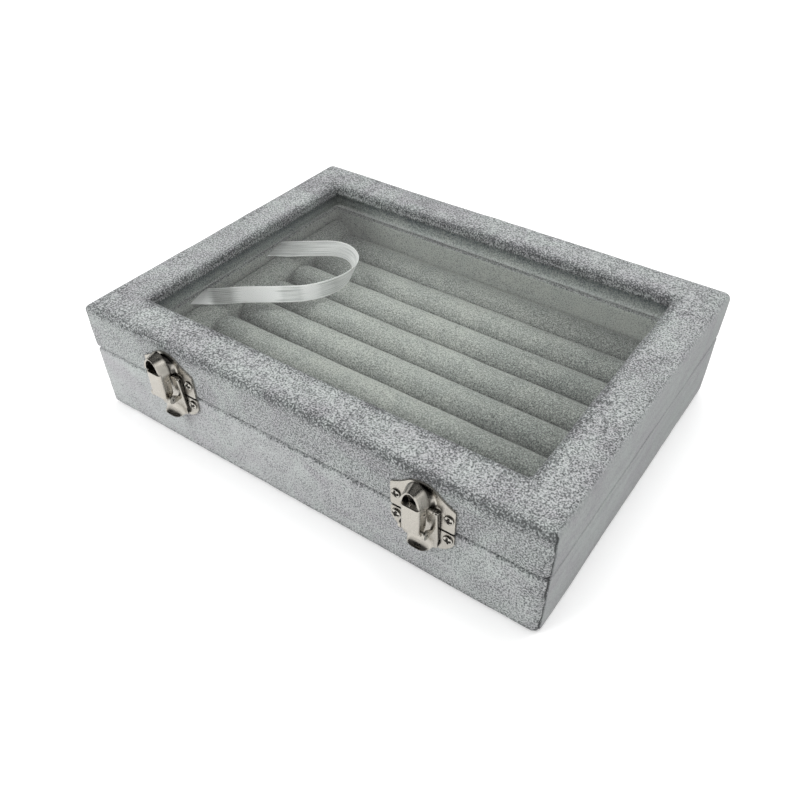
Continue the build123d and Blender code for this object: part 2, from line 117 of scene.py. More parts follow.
# The same, once the poles are merged and the faces turned outwards.
def addPiece(name, mesh, body, material, replaced):
    work = bmesh.new()
    work.from_mesh(mesh)
    bmesh.ops.remove_doubles(work, verts=work.verts, dist=1e-7)
    bmesh.ops.recalc_face_normals(work, faces=work.faces)
    work.to_mesh(mesh)
    work.free()
    return addSmooth(name, mesh, body, material, replaced)


# Smooth unevenness from -1 to 1: a sum of sine waves of about one length, in directions drawn from a seed.
def unevenness(points, wavelength, seed, waves=9):
    draw = np.random.default_rng(seed)
    ways = draw.normal(size=(waves, 3))
    ways *= draw.uniform(0.6, 1.5, (waves, 1)) / np.linalg.norm(ways, axis=1, keepdims=True)
    phases = draw.uniform(0, 2 * np.pi, waves)
    return np.sin(points @ ways.T * (2 * np.pi / wavelength) + phases).sum(-1) / 4


# Moves each vertex along its normal by unevenness of several wavelengths, each given with its height.
def makeUneven(mesh, uneven, seed):
    count = len(mesh.vertices)
    places, normals = np.empty(count * 3), np.empty(count * 3)
    mesh.vertices.foreach_get("co", places)
    mesh.vertices.foreach_get("normal", normals)
    places, normals = places.reshape(-1, 3), normals.reshape(-1, 3)
    height = sum(tall * mm * unevenness(places, long * mm, seed + k)
                 for k, (long, tall) in enumerate(uneven))
    mesh.vertices.foreach_set("co", (places + normals * height[:, None]).ravel())
    mesh.update()


# An S-curve that rises from 0 to 1 as the value does.
def smoothStep(value):
    share = np.clip(value, 0, 1)
    return share * share * (3 - 2 * share)


# The same curve between two values. It falls where the first is the greater.
def rises(value, start, end):
    return smoothStep((value - start) / (end - start))


# Coordinates put together as points.
def joined(*coordinates):
    return np.stack(np.broadcast_arrays(*coordinates), -1)


def unit(vectors):
    return vectors / np.linalg.norm(vectors, axis=-1, keepdims=True)


# Closed outline through (across, up, radius) corners: an arc at each corner that touches both of its
# sides, and straight runs between them cut into equal steps.
def roundedOutline(corners, step, arcSteps):
    spots = np.array(corners, float)
    place, radius = spots[:, :2], spots[:, 2]
    into, out = unit(place - np.roll(place, 1, 0)), unit(np.roll(place, -1, 0) - place)
    turn = np.arctan2(into[:, 0] * out[:, 1] - into[:, 1] * out[:, 0], (into * out).sum(1))
    reach = radius * np.tan(np.abs(turn) / 2)
    start, end = place - into * reach[:, None], place + out * reach[:, None]
    inward = np.sign(turn)[:, None] * np.stack([-into[:, 1], into[:, 0]], 1)
    centre = start + inward * radius[:, None]
    runs = []
    for k in range(len(spots)):
        angle = np.linspace(0, turn[k], arcSteps + 1)[:, None]
        spoke = start[k] - centre[k]
        across = np.array([-spoke[1], spoke[0]])
        runs.append(centre[k] + spoke * np.cos(angle) + across * np.sin(angle))
        follow = start[(k + 1) % len(spots)]
        count = max(1, round(float(np.linalg.norm(follow - end[k])) / step))
        share = np.arange(1, count)[:, None] / count
        runs.append(end[k] + (follow - end[k]) * share)
    return np.concatenate(runs)


# Colours for the shader nodes, from the sRGB that the hex code gives.
def linear(hexCode):
    srgb = np.array([int(hexCode[i:i + 2], 16) / 255 for i in (1, 3, 5)])
    return (*np.where(srgb <= 0.04045, srgb / 12.92, ((srgb + 0.055) / 1.055) ** 2.4).tolist(), 1.0)


# Adds a node with its settings and inputs. An input that is another node's output is linked.
def addNode(tree, kind, inputs=None, **settings):
    node = tree.nodes.new("ShaderNode" + kind)
    for name, value in settings.items():
        if name == "stops":
            while len(node.color_ramp.elements) < len(value):
                node.color_ramp.elements.new(0.5)
            for stop, (position, hexCode) in zip(node.color_ramp.elements, value):
                stop.position, stop.color = position, linear(hexCode)
        else:
            setattr(node, name, value)
    for name, value in (inputs or {}).items():
        if isinstance(value, bpy.types.NodeSocket):
            tree.links.new(value, node.inputs[name])
        else:
            node.inputs[name].default_value = value
    return node


def newMaterial(name):
    material = bpy.data.materials.new(name)
    material.use_nodes = True
    material.node_tree.nodes.clear()
    return material, material.node_tree


def finishMaterial(tree, shader):
    addNode(tree, "OutputMaterial", {"Surface": shader})


# Flocked velvet: short upright nylon pile on a backing. The pile clumps into specks under a millimetre
# across, is brushed into paler and darker patches, and opens dark where the cloth turns an edge.
def velvet(name, look):
    material, tree = newMaterial(name)
    place = addNode(tree, "TexCoord").outputs["Object"]
    speck, patch = look["speck"] * mm, look["patch"] * mm
    specks = addNode(tree, "TexNoise", {
        "Vector": place, "Scale": 1 / speck, "Detail": 2.0, "Roughness": 0.65}).outputs["Fac"]
    patches = addNode(tree, "TexNoise", {
        "Vector": place, "Scale": 1 / patch, "Detail": 3.0, "Roughness": 0.6,
        "Distortion": 0.8}).outputs["Fac"]
    streaked = addNode(tree, "Mapping", {"Vector": place, "Scale": look["brush"]}).outputs["Vector"]
    streaks = addNode(tree, "TexNoise", {
        "Vector": streaked, "Scale": 1 / (patch * 0.4), "Detail": 2.0}).outputs["Fac"]
    # specks darken where the pile is open or brushed away from the eye, and where painted shade is laid on
    brushed = addNode(tree, "Math", {0: patches, 1: streaks}, operation="ADD").outputs[0]
    lean = addNode(tree, "MapRange", {
        "Value": brushed, "From Min": 0.7, "From Max": 1.3,
        "To Min": -look["lean"], "To Max": look["lean"]}).outputs["Result"]
    # turned: pile opened at turned edges, plus painted shade and painted light on fronts, linings, rolls and
    # folds; negative values lighten
    turned = addNode(tree, "Attribute", attribute_name="turned").outputs["Fac"]
    opened = addNode(tree, "Math", {0: turned, 1: -look["open"], 2: lean}, operation="MULTIPLY_ADD")
    speckled = addNode(tree, "Math", {0: specks, 1: opened.outputs[0]}, operation="ADD").outputs[0]
    # combed pile lies flat: its specks run into soft streaks along the case
    drawn = addNode(tree, "Mapping", {"Vector": place, "Scale": (1.0, 0.06, 1.0)}).outputs["Vector"]
    soft = addNode(tree, "TexNoise", {
        "Vector": drawn, "Scale": 1 / (patch * 0.3), "Detail": 3.0}).outputs["Fac"]
    smoothed = addNode(tree, "MapRange", {
        "Value": soft, "To Min": look["combedLevel"] - 0.04, "To Max": look["combedLevel"] + 0.04})
    combed = addNode(tree, "Attribute", attribute_name="combed").outputs["Fac"]
    level = addNode(tree, "Mix", {0: combed, 2: speckled, 3: smoothed.outputs["Result"]}).outputs[0]
    colour = addNode(tree, "ValToRGB", {"Fac": level}, stops=look["stops"]).outputs["Color"]
    tint = addNode(tree, "ValToRGB", {"Fac": patches}, stops=look["tint"]).outputs["Color"]
    pile = addNode(tree, "Mix", {0: 1.0, 6: colour, 7: tint}, data_type="RGBA", blend_type="MULTIPLY")
    bump = addNode(tree, "Bump", {"Height": specks, "Strength": 1.0, "Distance": look["bump"] * mm})
    shader = addNode(tree, "BsdfPrincipled", {
        "Base Color": pile.outputs[2], "Roughness": 0.95, "Normal": bump.outputs["Normal"],
        "Sheen Weight": look["sheen"], "Sheen Roughness": 0.45, "Sheen Tint": linear(look["sheenTint"]),
        "Specular IOR Level": 0.15})
    finishMaterial(tree, shader.outputs["BSDF"])
    return material


# speck and patch are sizes, brush stretches the streaks, lean and open say how much the patches and the
# turned attribute, which holds open pile and painted shade, darken the pile
outerVelvet = velvet("outerVelvet", {
    "speck": 0.62, "patch": 16.0, "brush": (1.0, 0.3, 1.0), "lean": 0.035, "open": 0.14, "bump": 0.16,
    "sheen": 0.2, "sheenTint": "#E8EAEA", "combedLevel": 0.51,
    "stops": [(0.36, "#515353"), (0.45, "#7F8282"), (0.515, "#9B9D9D"), (0.635, "#BBBDBD")],
    "tint": [(0.35, "#F6F3F6"), (0.65, "#FCFFFD")]})
innerVelvet = velvet("innerVelvet", {
    "speck": 0.6, "patch": 20.0, "brush": (0.3, 1.0, 1.0), "lean": 0.03, "open": 0.16, "bump": 0.12,
    "sheen": 0.15, "sheenTint": "#DDE0E2", "combedLevel": 0.5,
    "stops": [(0.26, "#5C6067"), (0.42, "#878B8D"), (0.52, "#A0A3A2"), (0.6, "#ADB0AE"), (0.74, "#DADDDB")],
    "tint": [(0.35, "#F6F8FA"), (0.65, "#FFFFFF")]})
rollVelvet = velvet("rollVelvet", {
    "speck": 0.58, "patch": 14.0, "brush": (0.35, 1.0, 1.0), "lean": 0.025, "open": 0.2, "bump": 0.16,
    "sheen": 0.15, "sheenTint": "#DFE2DF", "combedLevel": 0.5,
    "stops": [(0.27, "#525553"), (0.41, "#7D807E"), (0.52, "#989B98"), (0.64, "#B5B8B4")],
    "tint": [(0.35, "#F6F8F6"), (0.65, "#FFFFFC")]})


# Fibres pressed flat and matt, drawn coarser than real ones so that they show.
def pressedFibres(name, look):
    material, tree = newMaterial(name)
    place = addNode(tree, "TexCoord").outputs["Object"]
    fibres = addNode(tree, "TexNoise", {
        "Vector": place, "Scale": 1 / (look["fibre"] * mm), "Detail": look["detail"],
        "Distortion": look["curl"]}).outputs["Fac"]
    colour = addNode(tree, "ValToRGB", {"Fac": fibres}, stops=look["stops"]).outputs["Color"]
    inputs = {"Base Color": colour, "Roughness": look["roughness"]}
    if look["bump"]:
        bump = addNode(tree, "Bump", {"Height": fibres, "Strength": 0.6, "Distance": look["bump"] * mm})
        inputs["Normal"] = bump.outputs["Normal"]
    finishMaterial(tree, addNode(tree, "BsdfPrincipled", inputs).outputs["BSDF"])
    return material


# medium density fibreboard: fine brown fibres
fibreboard = pressedFibres("fibreboard", {
    "fibre": 1.111, "detail": 4.0, "curl": 0.0, "bump": 0.0, "roughness": 0.85,
    "stops": [(0.35, "#8A6B4B"), (0.65, "#B39570")]})
# pressed paper with faint flecks
greyCard = pressedFibres("greyCard", {
    "fibre": 0.7143, "detail": 3.0, "curl": 0.0, "bump": 0.0, "roughness": 0.9,
    "stops": [(0.35, "#7C7E7B"), (0.65, "#989A96")]})
# bonded cloth under the case: short dark fibres
bondedCloth = pressedFibres("bondedCloth", {
    "fibre": 1.4286, "detail": 4.0, "curl": 1.5, "bump": 0.1, "roughness": 0.95,
    "stops": [(0.35, "#3B3D3E"), (0.65, "#5A5C5D")]})


# Polyester satin: long floats of bright thread along the ribbon, so it shines across its threads. The
# threads are drawn several times as wide as real ones, to show.
def satin(look):
    material, tree = newMaterial("satin")
    perFloat, perThread = 1 / (look["float"] * mm), 1 / (look["thread"] * mm)
    along = addNode(tree, "Attribute", attribute_name="along").outputs["Fac"]
    across = addNode(tree, "Attribute", attribute_name="across").outputs["Fac"]
    threads = addNode(tree, "CombineXYZ", {"X": along, "Y": across}).outputs["Vector"]
    stretched = addNode(tree, "Mapping", {"Vector": threads, "Scale": (perFloat, perThread, 1.0)})
    floats = addNode(tree, "TexNoise", {
        "Vector": stretched.outputs["Vector"], "Scale": 1.0, "Detail": 2.0}).outputs["Fac"]
    edge = addNode(tree, "Math", {0: across}, operation="ABSOLUTE").outputs[0]
    selvedgeFrom, selvedgeTo = look["selvedge"]
    selvedge = addNode(tree, "MapRange", {
        "Value": edge, "From Min": selvedgeFrom * mm, "From Max": selvedgeTo * mm}).outputs[0]
    lighter = addNode(tree, "Math", {0: selvedge, 1: 0.3, 2: floats}, operation="MULTIPLY_ADD").outputs[0]
    lustre = addNode(tree, "Attribute", attribute_name="lustre").outputs["Fac"]
    # painted highlight: a lustre of 1 lifts the threads to white, and below 0 it paints shade
    shine = addNode(tree, "Math", {0: lustre, 1: 0.6, 2: lighter}, operation="MULTIPLY_ADD").outputs[0]
    colour = addNode(tree, "ValToRGB", {"Fac": shine}, stops=look["stops"])
    bump = addNode(tree, "Bump", {"Height": floats, "Strength": 0.6, "Distance": 0.04 * mm})
    shader = addNode(tree, "BsdfPrincipled", {
        "Base Color": colour.outputs["Color"], "Roughness": 0.3, "Specular IOR Level": 1.0,
        "Subsurface Weight": 0.25, "Subsurface Radius": (1, 1, 1), "Subsurface Scale": 1.5 * mm,
        "Sheen Weight": 0.5, "Sheen Roughness": 0.3, "Normal": bump.outputs["Normal"]})
    finishMaterial(tree, shader.outputs["BSDF"])
    return material


# Float glass, faintly green. Lamps shine through it.
def glass():
    material, tree = newMaterial("floatGlass")
    ray = addNode(tree, "LightPath").outputs
    passing = addNode(tree, "Math", {0: ray["Is Shadow Ray"], 1: ray["Is Diffuse Ray"]},
                      operation="MAXIMUM").outputs[0]
    solid = addNode(tree, "BsdfPrincipled", {
        "Base Color": linear("#FDFEFD"), "Roughness": 0.0, "IOR": 1.5, "Transmission Weight": 1.0})
    clear = addNode(tree, "BsdfTransparent", {"Color": linear("#FBFCFB")})
    both = addNode(tree, "MixShader", {0: passing, 1: solid.outputs["BSDF"], 2: clear.outputs["BSDF"]})
    finishMaterial(tree, both.outputs["Shader"])
    return material


floatGlass = glass()
# colour of the painted shade on the metal
grime = "#2E2C29"


# Nickel plate on stamped steel, polished: bright, warm, with faint waves from the stamping. It is darkened
# with painted shade where its shade mask attribute says.
def nickelPlate(name, look):
    material, tree = newMaterial(name)
    dirt = addNode(tree, "Attribute", attribute_name="dirt").outputs["Fac"]
    colour = addNode(tree, "Mix", {
        0: dirt, 6: linear(look["colour"]), 7: linear(grime)}, data_type="RGBA").outputs[2]
    place = addNode(tree, "TexCoord").outputs["Object"]
    haze = addNode(tree, "TexNoise", {
        "Vector": place, "Scale": 1 / (look["haze"] * mm), "Detail": 3.0}).outputs["Fac"]
    smooth, rough = look["gloss"]
    dull = addNode(tree, "MapRange", {
        "Value": haze, "From Min": 0.3, "From Max": 0.7, "To Min": smooth, "To Max": rough}).outputs["Result"]
    bump = addNode(tree, "Bump", {"Height": haze, "Strength": 0.4, "Distance": look["wave"] * mm})
    shader = addNode(tree, "BsdfPrincipled", {
        "Base Color": colour, "Metallic": 1.0, "Roughness": dull, "Normal": bump.outputs["Normal"]})
    finishMaterial(tree, shader.outputs["BSDF"])
    return material


polishedNickel = nickelPlate("polishedNickel", {
    "colour": "#B3AFA7", "gloss": (0.22, 0.34), "haze": 3.0, "wave": 0.03})
brightSteel = nickelPlate("brightSteel", {
    "colour": "#B9B6AF", "gloss": (0.18, 0.3), "haze": 1.2, "wave": 0.02})
# the inside of the stampings and the lever's rims: thin dull plating, darkened further by painted shade
dullShadedNickel = nickelPlate("dullShadedNickel", {
    "colour": "#5E5B56", "gloss": (0.25, 0.4), "haze": 2.0, "wave": 0.03})
print("materials made")


# Ribbon stay: a satin band that leaves the seam flat, turns on edge and loops in front of the left wall
ribbonStay = {
    "width": 7.0,
    "thickness": 0.35,
    "length": 0.130,
    # from the base rim to the lid rim; both ends rise to the seam, where they are glued in
    "route": [(-93.3, 20.8, 27.9), (-83, 31.5, 26.6), (-68, 42.9, 26.5), (-54.3, 36.0, 26.5),
              (-49.9, 20.5, 26.5), (-55.8, 4.9, 26.5), (-67.5, -4.5, 26.5), (-80, -13.3, 26.5),
              (-87.2, -20.8, 26.8), (-93.3, -27.4, 27.9)],
    "twist": 9.0,  # length at each end over which it turns upright
    "laid": 62.0,  # degrees from upright at the wall
    "slant": 5.0,  # length at each end over which its threads shift to lie along the wall
    "lean": 30.0,  # degrees its upper edge leans back
    "sway": 5.0,  # degrees by which the lean varies
    "swayLength": 7.0,  # length of ribbon to a radian of its sway
    "turnsOver": (0.3, 0.7),  # shares of its length between which the lean changes side
    # bands of painted highlight and painted shade, where the satin turns to and from the light: distance from
    # the lid's end and share
    "lustre": [(0, 0.8), (4, 0.8), (7, -0.15), (14, -0.1), (20, 0.9), (30, 1.1), (37, 0.15), (44, 0.2),
               (49, 1.0), (54, 0.35), (61, 0.1), (70, 0.45), (84, 0.45), (100, 0.45), (116, 0.2), (130, 0.1)],
    # length of a float, width of a thread, and how far from the middle the selvedge begins and is full
    "satin": {"float": 16.667, "thread": 0.38462, "selvedge": (2.9, 3.3),
              "stops": [(0.3, "#8C8C8B"), (0.6, "#D4D6D5"), (0.85, "#FFFFFF")]},
}


# A flat superellipse, |across / half width| ^ 4 + |through / half thickness| ^ 4 = 1, carried along a smooth
# curve led by the route's points, and turned about it.
def makeRibbon(look):
    route = np.array(look["route"]) * mm
    curve = bpy.data.curves.new("ribbonLine", "CURVE")
    curve.dimensions, curve.resolution_u = "3D", 24
    spline = curve.splines.new("NURBS")
    spline.points.add(len(route) - 1)
    spline.points.foreach_set("co", np.c_[route, np.ones(len(route))].ravel())
    spline.order_u = 3
    spline.use_endpoint_u = True
    line = addObject("ribbonLine", curve)
    bpy.context.view_layer.update()
    followed = bpy.data.meshes.new_from_object(line.evaluated_get(bpy.context.evaluated_depsgraph_get()))
    path = np.array([v.co for v in followed.vertices])
    bpy.data.objects.remove(line)
    steps = np.linalg.norm(np.diff(path, axis=0), axis=1)
    along = np.r_[0, np.cumsum(steps)]
    print("ribbon line", round(along[-1], 4), "m")
    # the width stands upright in the middle and lies across the path near the ends
    forward = unit(np.gradient(path, along, axis=0))
    sideways = unit(np.cross(forward, (0, 0, 1)))
    upright = np.cross(sideways, forward)
    toEnd = np.minimum(along, along[-1] - along)
    flat = rises(toEnd, look["twist"] * mm, 0)
    swing = 2 * rises(along / along[-1], *look["turnsOver"]) - 1
    lean = look["lean"] + look["sway"] * np.sin(along / (look["swayLength"] * mm))
    turn = (swing * np.radians(lean + (look["laid"] - lean) * flat))[:, None]
    wide = upright * np.cos(turn) + sideways * np.sin(turn)
    thin = np.cross(forward, wide)
    # near the wall its threads shift so that its end lies along the wall
    shift = rises(toEnd, look["slant"] * mm, 0)[:, None]
    shift = np.where(along[:, None] < along[-1] / 2, shift, -shift)
    wide = wide + forward * shift * np.abs(forward[:, 1:2] / np.maximum(np.abs(forward[:, :1]), 0.3))
    angle = np.linspace(0, 2 * np.pi, 32, endpoint=False)
    across = np.sign(np.cos(angle)) * np.abs(np.cos(angle)) ** 0.5 * look["width"] / 2 * mm
    through = np.sign(np.sin(angle)) * np.abs(np.sin(angle)) ** 0.5 * look["thickness"] / 2 * mm
    points = path[:, None] + wide[:, None] * across[:, None] + thin[:, None] * through[:, None]
    points = np.concatenate([np.broadcast_to(path[:1, None], points[:1].shape), points,
                             np.broadcast_to(path[-1:, None], points[:1].shape)])
    mesh = gridMesh("ribbonStay", points, closedColumns=True)
    withPoles = np.r_[0, along, along[-1]]
    addValues(mesh, "along", np.repeat(withPoles[:, None], len(angle), 1))
    addValues(mesh, "across", np.repeat(across[None, :], len(points), 0))
    fromLid, share = np.array(look["lustre"]).T
    lustre = np.interp(along[-1] - withPoles, fromLid * mm, share)
    addValues(mesh, "lustre", np.repeat(lustre[:, None], len(angle), 1))
    piece = addPiece("ribbonStay", mesh, None, satin(look["satin"]), ["ribbon_stay"])
    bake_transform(piece)


makeRibbon(ribbonStay)
print("ribbon made")


# The case and its velvet skins
case = {
    "width": 200.0,
    "depth": 150.0,
    "corner": 3.0,
    "seam": 29.0,
    "pulledTight": 0.6,  # share of its radius that the front left corner loses
    "pulledFrom": 0.9,  # share of the half width and half depth past which it is pulled
    "foldAt": -22.0,  # degrees round each corner, where the cloth is folded
    "foldWidth": 0.34,
    "foldDepth": 0.55,
    "foldWave": 0.35,
    "foldOpenAndShade": 2.8,  # how open the pile looks in a fold, and the painted shade in it
    "edgeOpen": 0.7,  # and round a turned edge
    "faintEdges": 0.75,  # how much less the outer edges show it away from the front
    "combed": 0.82,  # how flat the pile lies on the right face
    "combedFrom": (0.945, 0.985),  # how squarely a face looks right where that begins and is full
    "combedOut": 0.35,  # how far the combed pile stands out over the seam
    "combedOver": 0.16,  # and how far it closes the seam
    "uneven": [(45, 0.12), (11, 0.05)],
}
# section: inset from the outer face, height and radius of each corner
baseSkin = {
    "section": [(12, 0.6, 0.1), (0, 0.6, 1.8), (0, 28.8, 1.5), (7, 28.8, 0.5), (7, 28.1, 0.1),
                (0.7, 28.1, 0.8), (0.7, 1.3, 1.1), (12, 1.3, 0.1)],
    "insets": [0, 2.7, 7, 12],
    "radii": [3, 0.3, 0.3, 0.3],  # of the case's corners, at those insets
    "turnedAt": [(0.4, 28.7, 0.8), (0.5, 1.1, 2.0)],  # inset, height and reach of the open pile
    "shade": (-0.85, -0.1),  # painted light and shade on the front at its left and right ends, negative being lighter
    "towardsSeam": 1,
    "seed": 10,
}
lidSkin = {
    "section": [(7, 29.2, 0.5), (0, 29.2, 1.5), (0, 48.5, 2.4), (17.5, 48.5, 1.6), (17.5, 44.5, 0.1),
                (9.5, 44.5, 0.1), (9.5, 45.2, 0.1), (16.8, 45.2, 0.1), (16.8, 47.8, 0.9), (0.7, 47.8, 1.7),
                (0.7, 29.9, 0.8), (7, 29.9, 0.1)],
    "insets": [0, 2.7, 7, 15.9, 17.5],
    "radii": [3, 0.3, 0.3, 3.1, 1.5],
    "turnedAt": [(0.7, 47.8, 2.3), (17.0, 48.0, 2.3), (17.5, 44.7, 0.9), (0.4, 29.3, 0.7)],
    "shade": (-0.25, 0.15),
    "towardsSeam": -1,
    "seed": 9,
}


# One lap round a box seen from above, from its front right corner. Its rows are the centre of the corner's
# arc, as a share of the half width and half depth, which way the face looks, and degrees round the arc.
def boxLap(width, depth, step, arcSteps):
    corners = [(1, -1), (1, 1), (-1, 1), (-1, -1)]
    laps = []
    for k, (cornerX, cornerY) in enumerate(corners):
        nextX, nextY = corners[(k + 1) % 4]
        arc = np.linspace(k - 1, k, arcSteps + 1) * np.pi / 2
        count = round((depth, width)[k % 2] / step)
        share = np.arange(1, count) / count
        ahead = k * np.pi / 2
        laps.append(joined(cornerX, cornerY, np.cos(arc), np.sin(arc), arc * 180 / np.pi - 90 * k))
        laps.append(joined(cornerX + (nextX - cornerX) * share, cornerY + (nextY - cornerY) * share,
                           np.cos(ahead), np.sin(ahead), 90.0))
    return np.concatenate(laps).T


# A section carried round the case: each of its points goes round a rectangle, inset from the outer faces,
# with corners of the radius that belongs to that inset. The front left corner is pulled tighter.
def carriedRound(outline, lap, insets, radii):
    inset, up = outline[:, :1], outline[:, 1:]
    shareX, shareY, outX, outY = lap[:4]
    pulled = rises(-lap[:2], case["pulledFrom"], 1).prod(0)
    radius = np.interp(inset, insets, radii) * (1 - case["pulledTight"] * pulled)
    x = shareX * (case["width"] / 2 - inset - radius) + radius * outX
    y = shareY * (case["depth"] / 2 - inset - radius) + radius * outY
    return joined(x, y, up)


# A section carried round the case, with a narrow groove down each upright edge, where the cloth is folded.
# The groove is as deep as exp(-(d / width) ^ 2), where d is the distance from it round the corner.
def makeSkin(name, look, body, replaced):
    outline = roundedOutline(look["section"], step=1.3, arcSteps=8)
    inset, height = outline[:, :1], outline[:, 1:]
    lap = boxLap(case["width"], case["depth"], step=2.2, arcSteps=22)
    outX, outY, degrees = lap[2:]
    points = carriedRound(outline, lap, look["insets"], look["radii"])
    wave = case["foldWave"] * (np.sin(height * 0.31 + look["seed"]) + 0.6 * np.sin(height * 0.83))
    fromFold = np.radians(degrees - case["foldAt"]) * case["corner"] - wave
    onFace = np.exp(-(np.maximum(inset - 0.8, 0) / 0.6) ** 2)
    groove = np.exp(-(fromFold / case["foldWidth"]) ** 2) * onFace
    points[..., 0] -= groove * case["foldDepth"] * outX
    points[..., 1] -= groove * case["foldDepth"] * outY
    # the pile opens round the turned edges: of the outer ones, along the front most
    edges = np.array(look["turnedAt"])
    gap = (np.linalg.norm(outline[:, None] - edges[None, :, :2], axis=-1) / edges[:, 2]).min(1)
    faint = case["faintEdges"] * (inset < case["corner"]) * rises(outY, -0.5, 0.1)
    opened = np.exp(-gap ** 2)[:, None] * (1 - faint)
    # the pile lies combed on the right face, and covers the seam there
    combed = rises(outX, *case["combedFrom"]) * rises(inset, 1.6, 0.4)
    atSeam = combed * np.exp(-((height - case["seam"]) / 1.2) ** 2)
    points[..., 0] += atSeam * case["combedOut"]
    points[..., 2] += atSeam * case["combedOver"] * look["towardsSeam"]
    # painted light and shade across the front faces, from the left end to the right; the folds darken with
    # open pile and painted shade
    left, right = look["shade"]
    shade = left + (right - left) * (points[..., 0] / case["width"] + 0.5)
    onFront = rises(-outY, 0.5, 0.9) * rises(inset, 2.4, 0.9)
    turned = case["edgeOpen"] * opened * (1 - 0.9 * combed) + shade * onFront + case["foldOpenAndShade"] * groove
    mesh = gridMesh(name, points * mm, closedRows=True, closedColumns=True)
    addValues(mesh, "turned", turned)
    addValues(mesh, "combed", combed * case["combed"])
    addPiece(name, mesh, body, outerVelvet, replaced)
    makeUneven(mesh, case["uneven"], look["seed"])


makeSkin("baseVelvet", baseSkin, "base", ["base_velvet_cover"])
makeSkin("lidVelvet", lidSkin, "lid", ["lid_velvet_cover"])

# Linings of the walls
lining = {
    "insets": (6.3, 7.0),  # of its glued and its open face
    "radii": (0.9, 0.2),
    "baseHeights": (4.3, 28.1),
    "lidHeights": (29.9, 45.2),
    # painted light and shade, negative being lighter: in the base, on its back wall, and in the lid at the
    # seam and at the glass, and how much more on the lid's left wall
    "basePaintedShade": -0.3,
    "backPaintedShade": -0.45,
    "lidPaintedShade": (-1.5, 1.0),
    "leftPile": 0.5,
    "rise": 10.0,  # height over which the lid's painted shade changes
    "uneven": [(50, 0.1), (12, 0.04)],
}


# A flat section carried round inside the case.
def makeLining(body, cloth, look, seed):
    name = f"{body}Lining"
    glued, bare = look["insets"]
    low, high = look[f"{body}Heights"]
    section = [(bare, low, 0.1), (glued, low, 0.1), (glued, high, 0.1), (bare, high, 0.1)]
    outline = roundedOutline(section, step=1.5, arcSteps=1)
    lap = boxLap(case["width"] - 2 * bare, case["depth"] - 2 * bare, step=2.5, arcSteps=4)
    points = carriedRound(outline, lap, look["insets"], look["radii"])
    wall = glued + 1.5
    # painted light and shade: the lid's lining lighter near the seam, darker near the glass and on its left
    # wall, and the base's lighter on its back wall
    if body == "lid":
        seamPaintedShade, glassPaintedShade = look["lidPaintedShade"]
        up = rises(points[..., 2], case["seam"], case["seam"] + look["rise"])
        leftWall = points[..., 0] < wall - case["width"] / 2
        turned = seamPaintedShade + (glassPaintedShade - seamPaintedShade) * up + look["leftPile"] * leftWall
    else:
        turned = np.where(points[..., 1] > case["depth"] / 2 - wall, look["backPaintedShade"], look["basePaintedShade"])
    mesh = gridMesh(name, points * mm, closedRows=True, closedColumns=True)
    addValues(mesh, "turned", turned)
    addPiece(name, mesh, body, cloth, [f"{body}_velvet_lining"])
    makeUneven(mesh, look["uneven"], seed)


makeLining("base", rollVelvet, lining, 10)
makeLining("lid", innerVelvet, lining, 9)
print("velvet skins made")

# Ring rolls: foam bars wrapped in velvet, rounded off and puckered at their ends
ringRolls = {
    "count": 8,
    "pitch": 17.0,
    "width": 16.7,
    "length": 165.4,
    "floor": 5.5,
    "height": 15.0,
    "shoulder": 5.0,  # height where the crown starts
    "crown": 2.4,  # power of the crown's curve
    "middle": 0.42,  # share of the height that its ends close on
    "endRound": 4.5,  # how far from the end its plan rounds off
    "endDrop": 1.8,  # how far from the end its top rounds off
    "endPowers": (2.3, 2.6),  # powers of those two curves
    "endLoss": (0.42, 0.4),  # shares of its width and height that are lost at the end
    "foot": (0.97, 0.1),  # share of the width that is flat, and its height
    "puckers": 17,
    "puckerDepth": 0.0264,
    # how open the pile looks everywhere, and the painted shade added on the side near the eye, in the
    # creases, and towards the right end, the left end and the front, each with where that begins and is full
    "pile": -0.2,
    "sidePaintedShade": 0.4,
    "creasePaintedShade": (0.6, 0.85, 1),
    "rightPile": (0.75, 5, 80),
    "leftPile": (0.45, 45, 83),
    "frontPaintedShade": (0.35, 38, 60),
    "uneven": [(35, 0.1), (12, 0.06)],
}


# How far each station of a bar is from its nearer end, and where it is from the middle.
def stations(length, near, count):
    middle = np.linspace(near[-1], length - near[-1], count)[1:-1]
    distance = np.r_[near, np.minimum(middle, length - middle), near[::-1]]
    return distance, np.r_[near, middle, length - near[::-1]] - length / 2


